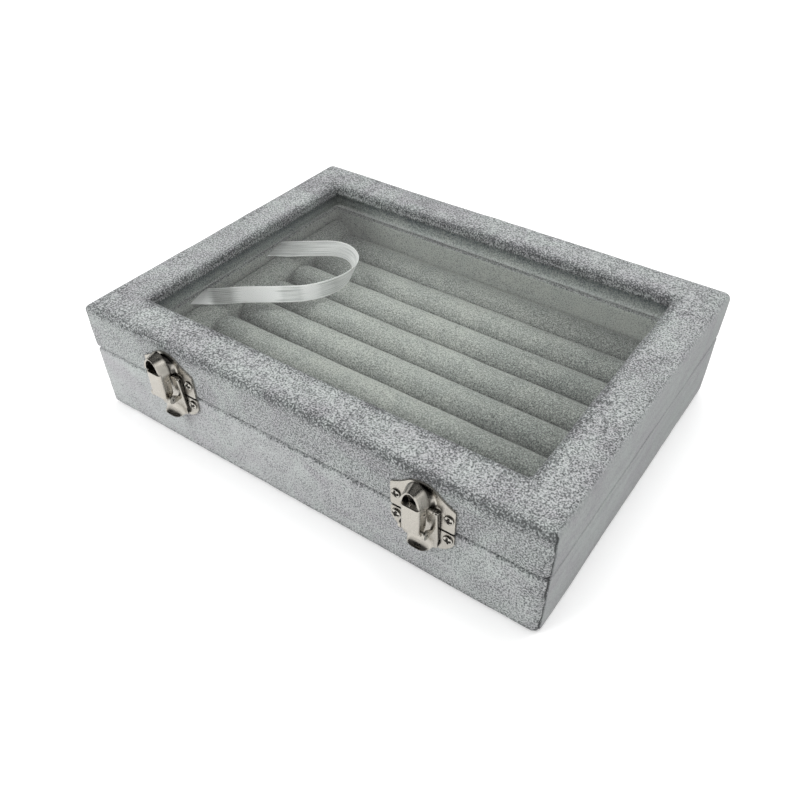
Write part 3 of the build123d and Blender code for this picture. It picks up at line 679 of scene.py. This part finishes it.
# Closed bar along one axis. Its section is a superellipse arch on a flat foot; towards each end it shrinks as
# (1 - (1 - d / r) ^ p) ^ (1 / p), where d is the distance from the end and r is longer across than in height.
def rollPoints(look, seed):
    near = np.r_[0, 0, 0.06, 0.25, 0.6, 1.1, 1.8, 2.6, 3.5, look["endRound"]]
    distance, place = stations(look["length"], near, 62)
    gone = np.clip(1 - distance / look["endRound"], 0, 1)[:, None]
    dropped = np.clip(1 - distance / look["endDrop"], 0, 1)[:, None]
    powerY, powerZ = look["endPowers"]
    shrinkY, shrinkZ = (1 - gone ** powerY) ** (1 / powerY), (1 - dropped ** powerZ) ** (1 / powerZ)
    angle = np.linspace(0, np.pi, 33)
    power = 2 / look["crown"]
    archY = np.sign(np.cos(angle)) * np.abs(np.cos(angle)) ** power * look["width"] / 2
    archZ = look["shoulder"] + np.abs(np.sin(angle)) ** power * (look["height"] - look["shoulder"])
    footShare, footHeight = look["foot"]
    footY = np.linspace(-1, 1, 9) * look["width"] / 2 * footShare
    sectionY, sectionZ = np.r_[archY, footY], np.r_[archZ, np.full(len(footY), footHeight)]
    middle = look["height"] * look["middle"]
    radial = np.arctan2(sectionZ - middle, sectionY)
    folds = 0.5 + 0.5 * np.sin(look["puckers"] * radial + seed)
    puckers = 1 - look["puckerDepth"] * folds * gone ** 2
    lossY, lossZ = look["endLoss"]
    y = sectionY * (1 - (1 - shrinkY * puckers) * lossY)
    z = middle + (sectionZ - middle) * (1 - (1 - shrinkZ * puckers) * lossZ)
    y[[0, -1]], z[[0, -1]] = 0, middle
    return joined(place[:, None], y, z + look["floor"])


# Rises to an amount between two values.
def risesTo(value, amount, start, end):
    return amount * rises(value, start, end)


def makeRoll(look, k):
    points = rollPoints(look, 2.1 * k)
    across = points[..., 1] / (look["width"] / 2)
    points[..., 1] += (k - (look["count"] - 1) / 2) * look["pitch"]
    x, y = points[..., 0], points[..., 1]
    # painted shade: darker on the side near the eye, in the creases, and towards the ends and the front
    turned = (look["pile"] + look["sidePaintedShade"] * np.clip(-across, 0, 1) ** 1.5
              + risesTo(np.abs(across), *look["creasePaintedShade"]) + risesTo(x, *look["rightPile"])
              + risesTo(-x, *look["leftPile"]) + risesTo(-y, *look["frontPaintedShade"]))
    mesh = gridMesh(f"ringRoll{k + 1}", points * mm, closedColumns=True)
    addValues(mesh, "turned", turned)
    roll = addPiece(f"ringRoll{k + 1}", mesh, "base", rollVelvet, [f"ring_roll_{k + 1}"])
    makeUneven(mesh, look["uneven"], 10 + k)


for k in range(ringRolls["count"]):
    makeRoll(ringRolls, k)

# Bolsters: padded strips that close the gap between the roll ends and the side walls
bolsters = {
    "outerFace": 92.7,
    "width": 9.7,
    "length": 135.4,
    "section": [(0, 0, 0.5), (9.7, 0, 0.5), (9.7, 14.4, 3.0), (0, 19.4, 1.6)],
    "bulge": 1.2,
    "bulgeAbove": 8.0,
    "middle": (4.85, 7.0),  # what its ends close on, across and in height
    "endRound": 5.0,
    "uneven": [(30, 0.12), (10, 0.06)],
}


# A padded section that bulges on top by 4 w (1 - w), w its share of the width, and shrinks at the ends.
def makeBolster(name, look, side, node):
    outline = roundedOutline(look["section"], step=1.0, arcSteps=8)
    over = np.clip(outline[:, 0] / look["width"], 0, 1)
    outline[:, 1] += (outline[:, 1] > look["bulgeAbove"]) * look["bulge"] * 4 * over * (1 - over)
    near = np.r_[0, 0, 0.1, 0.4, 0.9, 1.6, 2.6, 3.7, look["endRound"]]
    distance, place = stations(look["length"], near, 56)
    shrink = (1 - np.clip(1 - distance / look["endRound"], 0, 1) ** 2.2) ** (1 / 4)
    shrink = 1 - (1 - shrink) * 0.5
    shrink[[0, -1]] = 0
    shrink[[1, -2]] = 0.3
    middle = np.array(look["middle"])
    closed = middle + (outline - middle) * shrink[:, None, None]
    x, z = side * (look["outerFace"] - closed[..., 0]), closed[..., 1] + ringRolls["floor"]
    mesh = gridMesh(name, joined(x, place[:, None], z) * mm, closedColumns=True)
    piece = addPiece(name, mesh, "base", rollVelvet, [node])
    makeUneven(mesh, look["uneven"], 30 + side)


makeBolster("leftBolster", bolsters, -1, "left_bolster")
makeBolster("rightBolster", bolsters, 1, "right_bolster")
print("ring rolls made")


# Latches. Places on one are x from its middle, reach outwards from the velvet and height above the seam.
latch = {
    "centres": {"left": -56.0, "right": 56.0},
    "sheet": 0.6,
    "sheetEdge": 0.09,  # radius of the sheets' edges
    "barEdge": 0.12,
}


def onLatch(side, x, reach, height):
    return joined(x + latch["centres"][side], -case["depth"] / 2 - reach, case["seam"] + height) * mm


# Gives a sheet its thickness, with other materials inside and on its rim, and rounds the edges.
def addModifiers(piece, sheet, edge, inside=0, rim=0):
    if sheet:
        solid = piece.modifiers.new("sheet", "SOLIDIFY")
        solid.thickness, solid.offset, solid.use_even_offset = sheet * mm, -1, True
        solid.material_offset, solid.material_offset_rim = inside, rim
    bevel = piece.modifiers.new("edges", "BEVEL")
    bevel.width, bevel.segments = edge * mm, 2
    bevel.limit_method, bevel.angle_limit = "ANGLE", radians(42)
    piece.modifiers.new("shine", "WEIGHTED_NORMAL")


def placesOn(mesh):
    places = np.empty(3 * len(mesh.vertices))
    mesh.vertices.foreach_get("co", places)
    return places.reshape(-1, 3) / mm


# A closed outline, (reach, height) points, made solid between two places across the latch.
def makeBar(name, side, outline, low, high, body):
    middle = np.broadcast_to(outline.mean(0), outline.shape)
    ring = np.stack([middle, outline, outline, middle])
    x = np.array([low, low, high, high])[:, None]
    mesh = gridMesh(name, onLatch(side, x, ring[..., 0], ring[..., 1]), closedColumns=True)
    addModifiers(addPiece(name, mesh, body, polishedNickel, []), 0, latch["barEdge"])


def circle(centre, radius, steps=36):
    angle = np.linspace(0, 2 * np.pi, steps, endpoint=False)
    return joined(centre[0] + radius * np.cos(angle), centre[1] + radius * np.sin(angle))


loop = {
    "half": 3.5,
    "shift": -0.4,  # it hangs a little to the left
    "front": 7.4,
    "bend": 1.1,
    "foot": 0.2,
    "sill": 11.0,
    "eye": (5.3, -0.2, 1.2),  # reach, height and radius
    "rear": 3.2,
    "neck": 1.13,  # from the middle of the eye to the wall's back edge above it
    "dimple": (4.1, 6.7, 0.6),  # reach, height and radius
    "hoodFront": 6.4,  # rise
    "hoodBack": (4.7, 7.3, 3.0),  # half width, rise and reach
    "grime": 0.95,  # painted shadow along the hood's back edge
}


# The loop is one bent sheet: its side walls rise into a half-oval hood, whose back edge is wider than its
# front edge, and a flat front with round bends closes it up to the sill of its window.
def makeLoop(side):
    half, front, bend, sill = loop["half"], loop["front"], loop["bend"], loop["sill"]
    eyeReach, eyeHeight, eyeRadius = loop["eye"]
    hoodHalf, hoodRise, hoodReach = loop["hoodBack"]
    low = eyeHeight + eyeRadius * np.sin(np.linspace(-np.pi / 2, 0.33, 9))
    wall = np.linspace(loop["foot"], sill, 18)
    heights = np.r_[low[low < loop["foot"] - 0.02], wall]
    chord = np.sqrt(np.maximum(eyeRadius ** 2 - (heights - eyeHeight) ** 2, 0))
    rise = rises(heights, loop["foot"], loop["foot"] + 0.9)
    isWall = heights >= loop["foot"] - 0.01
    frontEdge = np.where(isWall, front - bend, eyeReach + chord)
    wallBack = (eyeReach - loop["neck"]) * (1 - rise) + loop["rear"] * rise
    backEdge = np.where(isWall, wallBack, eyeReach - chord)
    flare = rises(heights, sill - 2.4, sill) * (hoodHalf - half)
    angle = np.linspace(np.pi, 0, 37)[1:-1]
    lift = np.clip(np.sin(angle) / 0.3, 0, 1)
    frontRow = np.concatenate([
        joined(-half, frontEdge, heights),
        joined(half * np.cos(angle), front - bend + bend * np.sqrt(1 - (1 - lift) ** 2),
               sill + loop["hoodFront"] * np.sin(angle)),
        joined(half, frontEdge, heights)[::-1]])
    backRow = np.concatenate([
        joined(-half - flare, backEdge, heights),
        joined(hoodHalf * np.cos(angle), hoodReach, sill + hoodRise * np.sin(angle)),
        joined(half + flare, backEdge, heights)[::-1]])
    share = np.linspace(0, 1, 9)[None, :, None]
    tunnel = backRow[:, None] + (frontRow - backRow)[:, None] * share
    turn = np.linspace(0, np.pi / 2, 7)
    across = np.r_[-half + bend * (1 - np.cos(turn)), np.linspace(-half + bend, half - bend, 9)[1:-1],
                   half - bend + bend * np.sin(turn)]
    reach = np.r_[front - bend + bend * np.sin(turn), np.full(7, front),
                  front - bend + bend * np.cos(turn)]
    name, shift = f"latchLoop{side.capitalize()}", loop["shift"]
    mesh = gridMesh(name, onLatch(side, tunnel[..., 0] + shift, tunnel[..., 1], tunnel[..., 2]))
    plate = gridMesh(name + "Front", onLatch(side, across[None, :] + shift, reach[None, :], wall[:, None]))
    work = bmesh.new()
    work.from_mesh(mesh)
    work.from_mesh(plate)
    bmesh.ops.remove_doubles(work, verts=work.verts, dist=2e-6)
    work.to_mesh(mesh)
    work.free()
    bpy.data.meshes.remove(plate)
    places = placesOn(mesh)
    reach, height = -case["depth"] / 2 - places[:, 1], places[:, 2] - case["seam"]
    # painted shadow along the hood's back edge, where it meets the plate
    atBack = rises(height, sill - 1.5, sill) * rises(reach, hoodReach + 0.7, hoodReach + 0.3)
    addValues(mesh, "dirt", loop["grime"] * atBack)
    piece = addPiece(name, mesh, f"loop_{side}", polishedNickel, [f"latch_loop_{side}"])
    # the loop's inside takes the dark nickel: dull plating with painted shade
    mesh.materials.append(dullShadedNickel)
    addModifiers(piece, latch["sheet"], latch["sheetEdge"], inside=1)
    *dimple, radius = loop["dimple"]
    for letter, middle in (("A", shift - half), ("B", shift + half)):
        low, high = middle - latch["sheet"] / 2, middle + latch["sheet"] / 2
        makeBar(f"{name}Dimple{letter}", side, circle(dimple, radius), low, high, f"loop_{side}")


lever = {
    "half": 6.9,
    "head": 8.0,
    "faceAtHead": 2.9,
    "lean": 4.0,  # degrees
    "back": 1.1,
    "bend": 0.7,
    "flangeFoot": -5.0,
    "foot": -9.3,
    "corner": 1.3,
    "tongueStart": -5.6,
    "tongueHalf": 5.1,
    "tongueSides": (5.4, 4.2),  # x between which its tip rises to the foot's corners
    "scoopLength": 4.65,
    "tongueRadius": 4.3,
    "tongueTip": -10.1,
    "knuckle": (2.0, 8.0, 0.9, 5.1),  # reach, height, radius and half length
    "lug": (4.9, 7.0, -1.9, 1.5, 1.65, 4.1, 5.0),  # reaches, heights, radius, inner and outer x
    "grime": 0.9,  # painted shade in the gaps beside the cheeks
}


# The lever is one bent sheet: a leaning web with flanges bent back at its sides, and a tongue that scoops
# outwards along a circle, deepest in its middle.
def makeLever(side):
    half, head, foot, corner = lever["half"], lever["head"], lever["foot"], lever["corner"]
    share = np.linspace(-1, 1, 41)[None, :]
    flat = np.abs(share) * half
    tongue = rises(flat, *lever["tongueSides"])
    rounded = corner - np.sqrt(np.maximum(corner ** 2 - np.maximum(flat - half + corner, 0) ** 2, 0))
    low = foot + rounded - (foot - lever["tongueTip"]) * tongue
    down = np.linspace(0, 1, 57)[:, None] ** 0.9
    z = head + (low - head) * down
    slope = np.tan(radians(lever["lean"]))
    face = lever["faceAtHead"] - (head - z) * slope
    depth = (face - lever["back"]) * rises(z, lever["flangeFoot"] - 1.4, lever["flangeFoot"])
    bend = np.minimum(lever["bend"], np.maximum(depth * 0.9, 0.05))
    drop = np.clip((lever["tongueStart"] - z) / lever["scoopLength"], 0, 0.97)
    hollow = np.maximum(1 - (flat / lever["tongueHalf"]) ** 3.6, 0)
    scoop = lever["tongueRadius"] * (1 - np.sqrt(1 - drop ** 2)) * hollow
    web = joined(share * (half - bend), face + scoop, z)
    # flanges: an arc and a straight run back from each side of the web
    turn = np.linspace(0, np.pi / 2, 7)[1:][None, :]
    run = np.linspace(0, 1, 4)[1:][None, :]

    def flange(sign):
        column = [0 if sign < 0 else -1]
        faceHere, bendHere, depthHere, height = (value[:, column] for value in (face, bend, depth, z))
        arc = joined(sign * (half - bendHere + bendHere * np.sin(turn)),
                     faceHere - bendHere * (1 - np.cos(turn)), height)
        back = joined(sign * half, faceHere - bendHere - np.maximum(depthHere - bendHere, 0.02) * run, height)
        return np.concatenate([arc, back], 1)

    whole = np.concatenate([flange(-1)[:, ::-1], web, flange(1)], 1)
    x, reach, z = np.moveaxis(whole, -1, 0)
    name, body = f"latchLever{side.capitalize()}", f"lever_{side}"
    mesh = gridMesh(name, onLatch(side, x, reach, z))
    # painted shade at the lever's sides, in the gaps beside the cheeks
    beside = rises(np.abs(x), half - 0.25, half - 0.05) * (z > foot + 1.5)
    addValues(mesh, "dirt", lever["grime"] * beside)
    piece = addPiece(name, mesh, body, polishedNickel, [f"latch_lever_{side}"])
    # the lever's inside and rims take the dark nickel: dull plating with painted shade
    mesh.materials.append(dullShadedNickel)
    addModifiers(piece, latch["sheet"], latch["sheetEdge"], inside=1, rim=1)
    reach, height, radius, length = lever["knuckle"]
    makeBar(name + "Knuckle", side, circle((reach, height), radius), -length, length, body)
    near, far, bottom, top, radius, inner, outer = lever["lug"]
    back = lever["faceAtHead"] - head * slope - 0.3
    corners = [(back, bottom, 0.05), (far, bottom, radius), (far, top, radius), (near, top, 0.4),
               (back, -0.6, 0.05)]
    outline = roundedOutline(corners, step=0.5, arcSteps=8)
    makeBar(name + "LugA", side, outline, -outer, -inner, body)
    makeBar(name + "LugB", side, outline, inner, outer, body)


# Cross-recessed screws: a low dome over a shank. The recess is two crossed grooves that sink from the dome.
screw = {
    "head": 1.8,
    "rise": 0.9,
    "fall": 0.42,  # share of the rise by which the dome falls
    "shank": 0.9,
    "length": 5.5,
    "arm": 1.5,  # half length of a groove
    "groove": 0.4,  # half width
    "sink": 0.6,
    "stands": 0.8,  # the head on its plate, from the velvet
}
# way is -1 for the front and 1 for the back, apart is half the distance between two screws, and each row has
# its height above the seam and the seed for the turns of its crosses
screwPairs = {
    "latch": {"way": -1, "middles": tuple(latch["centres"].values()), "apart": 9.9,
              "rows": {"lid": (6.1, 1), "base": (-3.3, 2)}},
    "hinge": {"way": 1, "middles": (-60, 60), "apart": 6.5, "rows": {"lid": (6.5, 3), "base": (-6.5, 4)}},
}


# The dome falls from the middle as (r / head) ^ 2.4. Gives each point's place and its painted shade.
def screwPoints(turn):
    dome = np.r_[0, np.linspace(0.08, 1.5, 18), 1.62]
    head, shank, tip = screw["head"], screw["shank"], -screw["length"]
    radius = np.r_[dome, 1.72, 1.78, head, head, shank, shank, 0][:, None]
    height = np.r_[screw["rise"] * (1 - screw["fall"] * (dome / head) ** 2.4),
                   0.46, 0.36, 0.24, 0, 0, tip + 0.6, tip][:, None]
    angle = np.linspace(0, 2 * np.pi, 48, endpoint=False)[None, :]
    x, y = radius * np.cos(angle), radius * np.sin(angle)
    u, v = x * np.cos(turn) + y * np.sin(turn), y * np.cos(turn) - x * np.sin(turn)

    def grooveAlong(along, beside):
        inGroove = rises(np.abs(beside), screw["groove"] + 0.12, screw["groove"] - 0.04)
        return inGroove * rises(np.abs(along), screw["arm"], screw["arm"] - 0.2)

    # painted shade in the cross's grooves and in a ring at the edge of the head
    cut = np.maximum(grooveAlong(v, u), grooveAlong(u, v)) * (height > 0.4)
    rim = 0.7 * (np.abs(radius - head) < 0.04)
    return x, y, height - screw["sink"] * cut, np.maximum(cut, rim)


# A row of screws, two about each middle, each with its cross turned its own way.
def makeScrews(kind, body, look, row, seed):
    middles = [middle + side * look["apart"] for middle in look["middles"] for side in (-1, 1)]
    turns = np.random.default_rng(seed).uniform(0, np.pi / 2, len(middles))
    way, plane = look["way"], case["depth"] / 2 + screw["stands"]
    points, paintedShadeMasks = [], []
    for middle, turn in zip(middles, turns):
        x, y, out, dirt = screwPoints(turn)
        points.append(joined(middle - way * x, way * (plane + out), case["seam"] + row + y))
        paintedShadeMasks.append(dirt)
    name = f"{kind}Screws{body.capitalize()}"
    mesh = gridMesh(name, np.stack(points) * mm, closedColumns=True)
    addValues(mesh, "dirt", np.stack(paintedShadeMasks))
    addPiece(name, mesh, body, brightSteel, [f"{kind}_screws_{body}"])


softEdges = {"plate": 0.26, "leaf": 0.12, "pin": 0.1}


# Plates, leaves and pins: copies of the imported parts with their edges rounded, as tumbling leaves them.
def softenMetal(node, body, material, edge):
    work = bmesh.new()
    work.from_mesh(cadNodes[node].data)
    bmesh.ops.remove_doubles(work, verts=work.verts, dist=2e-6)
    bmesh.ops.dissolve_limit(work, angle_limit=radians(0.5), verts=work.verts, edges=work.edges)
    mesh = bpy.data.meshes.new(node)
    work.to_mesh(mesh)
    work.free()
    if node.startswith("strike"):
        # makeNose gives the nose its own finer surface
        places = placesOn(mesh)
        places[:, 1] = np.maximum(places[:, 1], -case["depth"] / 2 - nose["face"])
        mesh.vertices.foreach_set("co", (places * mm).ravel())
    first, *others = node.split("_")
    name = first + "".join(word.capitalize() for word in others)
    addModifiers(addSmooth(name, mesh, body, material, [node]), 0, edge)


nose = {
    "face": 0.8,
    "rise": 1.9,
    "base": (9.6, 5.5),  # height above the seam and radius
    "tip": (12.3, 3.4),
    "foot": 9.2,
    "mark": (4.8, 7.6),  # half width and height, above the loop's sill, of the painted shadow under the hood
    "hoodShadowStrength": 0.8,
    "flankShadeStrength": 0.9,
}


# The nose is pressed out of the plate as a leaning cone with soft edges, cut off level at its foot.
def makeNose(side):
    level = np.linspace(0, 1, 25)
    (baseHeight, baseRadius), (tipHeight, tipRadius) = nose["base"], nose["tip"]
    radius = np.r_[baseRadius + (tipRadius - baseRadius) * level, tipRadius * np.linspace(0.9, 0, 8)][:, None]
    centre = np.r_[baseHeight + (tipHeight - baseHeight) * level, np.full(8, tipHeight)][:, None]
    reach = nose["face"] + nose["rise"] * smoothStep(np.r_[level, np.ones(8)])[:, None]
    angle = np.linspace(0, 2 * np.pi, 64, endpoint=False)[None, :]
    x, z = radius * np.cos(angle), np.maximum(centre + radius * np.sin(angle), nose["foot"])
    name = f"latchNose{side.capitalize()}"
    mesh = gridMesh(name, onLatch(side, x, reach, z), closedColumns=True)
    # painted shadow under the hood, and painted shade low on its flanks
    hoodShadowHalf, hoodShadowHeight = nose["mark"]
    under = np.hypot((x - loop["shift"]) / hoodShadowHalf, (z - loop["sill"]) / hoodShadowHeight)
    low = rises(np.abs(x), 3.7, 4.1) * rises(z, 12.4, 11.2) * rises(reach, 1.0, 1.3)
    dirt = np.maximum(nose["hoodShadowStrength"] * rises(under, 0.99, 0.91), nose["flankShadeStrength"] * low)
    addValues(mesh, "dirt", dirt)
    addPiece(name, mesh, "lid", polishedNickel, [])


for side in ("left", "right"):
    makeLoop(side)
    makeNose(side)
    makeLever(side)
    softenMetal(f"strike_plate_{side}", "lid", polishedNickel, softEdges["plate"])
    softenMetal(f"latch_plate_{side}", "base", polishedNickel, softEdges["plate"])
    softenMetal(f"lever_pin_{side}", "base", brightSteel, softEdges["pin"])
    softenMetal(f"loop_pin_{side}", f"lever_{side}", brightSteel, softEdges["pin"])
    softenMetal(f"hinge_base_leaf_{side}", "base", polishedNickel, softEdges["leaf"])
    softenMetal(f"hinge_lid_leaf_{side}", "lid", polishedNickel, softEdges["leaf"])
    softenMetal(f"hinge_pin_{side}", "base", brightSteel, softEdges["pin"])
for kind, look in screwPairs.items():
    for body, (row, seed) in look["rows"].items():
        makeScrews(kind, body, look, row, seed)
print("metal made")

# Finishes of the parts that keep their CAD meshes
finishes = {
    fibreboard: ["base_floor_board", "base_front_board", "base_back_board", "base_left_board",
                 "base_right_board", "lid_front_board", "lid_back_board", "lid_left_board",
                 "lid_right_board", "lid_top_frame"],
    greyCard: ["insert_card"],
    bondedCloth: ["bottom_sheet"],
    innerVelvet: ["glass_bead_front", "glass_bead_back", "glass_bead_left", "glass_bead_right"],
    floatGlass: ["glass_pane"],
}
for material, names in finishes.items():
    for name in names:
        data = cadNodes[name].data
        data.materials.clear()
        data.materials.append(material)

# Stage: a white floor that fades into a white world, and soft lamps
stage = {
    "floorSize": 6.0,
    "floorColour": "#F2F2F2",
    "floorGlow": 0.2,  # beside the case
    "glowRise": (0.35, 1.6),  # distances between which it rises to 1
    "worldLight": 0.6,
    # a black card behind and above, which only the shine of metal and glass shows
    "blackCard": {"place": (0.3, 0.1, 0.85), "size": (4.0, 3.2)},
    "lamps": {
        "frontLamp": {"place": (-0.65, -0.85, 0.85), "size": 0.8, "power": 9.5, "shines": False},
        "topLamp": {"place": (0.1, 0.5, 1.35), "size": 0.9, "power": 11.0, "shines": True},
        "sideLamp": {"place": (1.3, -0.2, 0.7), "size": 0.7, "power": 2.0, "shines": True},
    },
}


# Camera, glossy and transmitted rays: what looks straight at the white background.
def seenDirectly(tree):
    ray = addNode(tree, "LightPath").outputs
    looking = addNode(tree, "Math", {0: ray["Is Camera Ray"], 1: ray["Is Glossy Ray"]}, operation="MAXIMUM")
    return addNode(tree, "Math", {0: looking.outputs[0], 1: ray["Is Transmission Ray"]},
                   operation="MAXIMUM").outputs[0]


# Flat rectangle round a middle.
def addSheet(name, size, place, material):
    x, y = np.array([-0.5, 0.5]) * size[0], np.array([[-0.5], [0.5]]) * size[1]
    mesh = gridMesh(name, joined(x, y, 0.0) + np.array(place))
    mesh.materials.append(material)
    sheet = addObject(name, mesh)
    return sheet


def makeFloor(look):
    material, tree = newMaterial("whitePaper")
    paper = addNode(tree, "BsdfDiffuse", {"Color": linear(look["floorColour"])})
    place = addNode(tree, "TexCoord").outputs["Object"]
    distance = addNode(tree, "VectorMath", {0: place}, operation="LENGTH").outputs["Value"]
    near, far = look["glowRise"]
    level = addNode(tree, "MapRange", {
        "Value": distance, "From Min": near, "From Max": far, "To Min": look["floorGlow"]})
    glow = addNode(tree, "Math", {0: seenDirectly(tree), 1: level.outputs["Result"]}, operation="MULTIPLY")
    light = addNode(tree, "Emission", {"Color": (1, 1, 1, 1), "Strength": glow.outputs[0]})
    both = addNode(tree, "AddShader", {0: paper.outputs["BSDF"], 1: light.outputs["Emission"]})
    finishMaterial(tree, both.outputs["Shader"])
    addSheet("floor", (look["floorSize"], look["floorSize"]), (0, 0, 0), material)


def makeWorld(look):
    world = bpy.data.worlds.new("studio")
    world.use_nodes = True
    world.node_tree.nodes.clear()
    tree = world.node_tree
    level = addNode(tree, "MapRange", {"Value": seenDirectly(tree), "To Min": look["worldLight"]})
    light = addNode(tree, "Background", {"Color": (1, 1, 1, 1), "Strength": level.outputs["Result"]})
    addNode(tree, "OutputWorld", {"Surface": light.outputs["Background"]})
    bpy.context.scene.world = world


def makeLamp(name, look):
    data = bpy.data.lights.new(name, "AREA")
    data.shape, data.size, data.energy = "SQUARE", look["size"], look["power"]
    lamp = addObject(name, data)
    lamp.location = look["place"]
    lamp.rotation_euler = (-lamp.location).to_track_quat("-Z", "Y").to_euler()
    lamp.visible_glossy = look["shines"]


def makeBlackCard(look):
    material, tree = newMaterial("blackPaper")
    paper = addNode(tree, "BsdfDiffuse", {"Color": linear("#1C1C1C")})
    finishMaterial(tree, paper.outputs["BSDF"])
    card = addSheet("blackCard", look["size"], look["place"], material)
    card.visible_camera = card.visible_diffuse = card.visible_shadow = card.visible_transmission = False


makeFloor(stage)
makeBlackCard(stage["blackCard"])
makeWorld(stage)
for name, look in stage["lamps"].items():
    makeLamp(name, look)
bpy.context.scene.view_settings.view_transform = "Standard"

print("scene ready")
